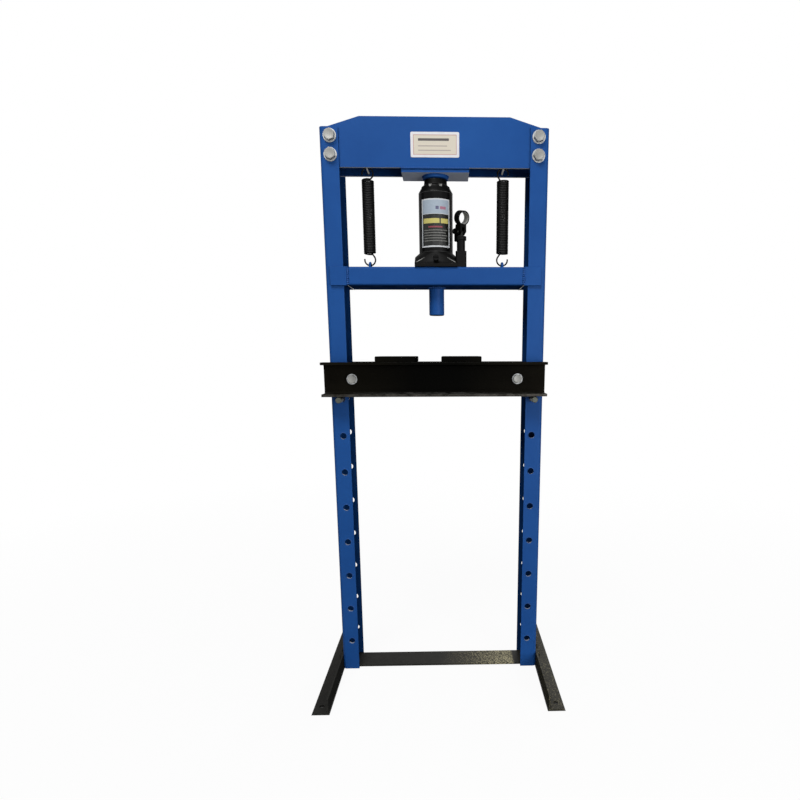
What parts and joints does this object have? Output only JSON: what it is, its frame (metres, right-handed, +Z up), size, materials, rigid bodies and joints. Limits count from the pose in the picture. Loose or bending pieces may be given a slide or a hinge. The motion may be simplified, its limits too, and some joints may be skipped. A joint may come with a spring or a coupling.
{
  "type": "hydraulic shop press",
  "caption": "Floor-standing H-frame hydraulic press with a bottle jack, a sprung sliding press beam and a bed that rests on pins.",
  "frame": {"origin": "on the floor, under the middle of the four feet ends", "axes": "+Z up, +X to the right of a person facing the press, the front faces -Y"},
  "size_m": [0.562, 0.46, 1.277],
  "materials": {
    "frame_paint": "gloss enamel",
    "bed_paint": "satin enamel",
    "foot_paint": "hammered enamel",
    "jack_paint": "gloss enamel",
    "zinc_steel": "zinc plated",
    "spring_steel": "drawn wire",
    "ram_chrome": "ground and plated",
    "machined_steel": "turned",
    "seal_rubber": "moulded",
    "plate_print": "bare printed plate",
    "label_film": "bare printed film"
  },
  "bodies": {
    "frame": {"left_post": "frame_paint", "right_post": "frame_paint", "left_foot": "foot_paint", "right_foot": "foot_paint", "base_tie": "foot_paint", "foot_bolts": "foot_paint", "foot_washers": "foot_paint", "foot_nuts": "foot_paint", "head_front_plate": "frame_paint", "head_back_plate": "frame_paint", "head_bolts": "zinc_steel", "head_washers": "zinc_steel", "head_nuts": "zinc_steel", "bearing_plate": "frame_paint", "saddle_ring": "frame_paint", "nameplate": "plate_print", "left_spring_rod": "zinc_steel", "right_spring_rod": "zinc_steel", "left_spring": "spring_steel", "right_spring": "spring_steel", "jack_ram": "ram_chrome", "ram_seal": "seal_rubber"},
    "press_beam": {"press_beam": "frame_paint", "left_front_guide": "frame_paint", "left_back_guide": "frame_paint", "right_front_guide": "frame_paint", "right_back_guide": "frame_paint", "press_head": "frame_paint", "left_spring_eye": "frame_paint", "right_spring_eye": "frame_paint", "jack_base": "jack_paint", "pressure_cylinder": "machined_steel", "oil_reservoir": "jack_paint", "lower_gasket": "seal_rubber", "upper_gasket": "seal_rubber", "top_nut": "jack_paint", "ram_wiper": "seal_rubber", "oil_plug": "seal_rubber", "jack_label": "label_film", "pump_cylinder": "jack_paint", "pump_collar": "jack_paint", "plunger_seal": "seal_rubber", "fulcrum_pin": "zinc_steel"},
    "pump_lever": {"handle_socket": "jack_paint"},
    "plunger": {"pump_plunger": "ram_chrome", "plunger_pin": "zinc_steel"},
    "release_valve": {"release_valve": "jack_paint"},
    "bed": {"front_bed_channel": "bed_paint", "back_bed_channel": "bed_paint", "left_bed_bolt": "zinc_steel", "right_bed_bolt": "zinc_steel", "left_bed_spacer": "bed_paint", "right_bed_spacer": "bed_paint", "bed_washers": "zinc_steel", "left_bed_nut": "zinc_steel", "right_bed_nut": "zinc_steel", "left_press_plate": "bed_paint", "right_press_plate": "bed_paint"},
    "left_pin": {"left_bed_pin": "zinc_steel"},
    "right_pin": {"right_bed_pin": "zinc_steel"}
  },
  "joints": [
    {"name": "press_slide", "type": "slide", "parent": "frame", "child": "press_beam", "axis": [0, 0, 1], "range_m": [-0.0915, 0], "stiffness_N_per_m": 4330, "springref_m": 0.0277, "deforming": ["left_spring", "right_spring"]},
    {"name": "pump_lever_swing", "type": "hinge", "parent": "press_beam", "child": "pump_lever", "pos_m": [0.04632, -0.01889, 1.0505], "axis": [-0.8192, -0.5736, 0], "range_deg": [0, 30]},
    {"name": "plunger_slide", "type": "slide", "parent": "press_beam", "child": "plunger", "axis": [0, 0, 1], "range_m": [0, 0.0086]},
    {"name": "release_valve_turn", "type": "hinge", "parent": "press_beam", "child": "release_valve", "pos_m": [0, -0.05, 0.9895], "axis": [0, -1, 0], "range_deg": [0, 180]},
    {"name": "bed_lift", "type": "slide", "parent": "frame", "child": "bed", "axis": [0, 0, 1], "range_m": [0, 0.085]},
    {"name": "left_pin_pull", "type": "slide", "parent": "frame", "child": "left_pin", "axis": [0, -1, 0], "range_m": [0, 0.165]},
    {"name": "right_pin_pull", "type": "slide", "parent": "frame", "child": "right_pin", "axis": [0, -1, 0], "range_m": [0, 0.165]}
  ],
  "couplings": [
    {"joint": "plunger_slide", "follows": "pump_lever_swing", "m_per_rad": 0.016376}
  ]
}
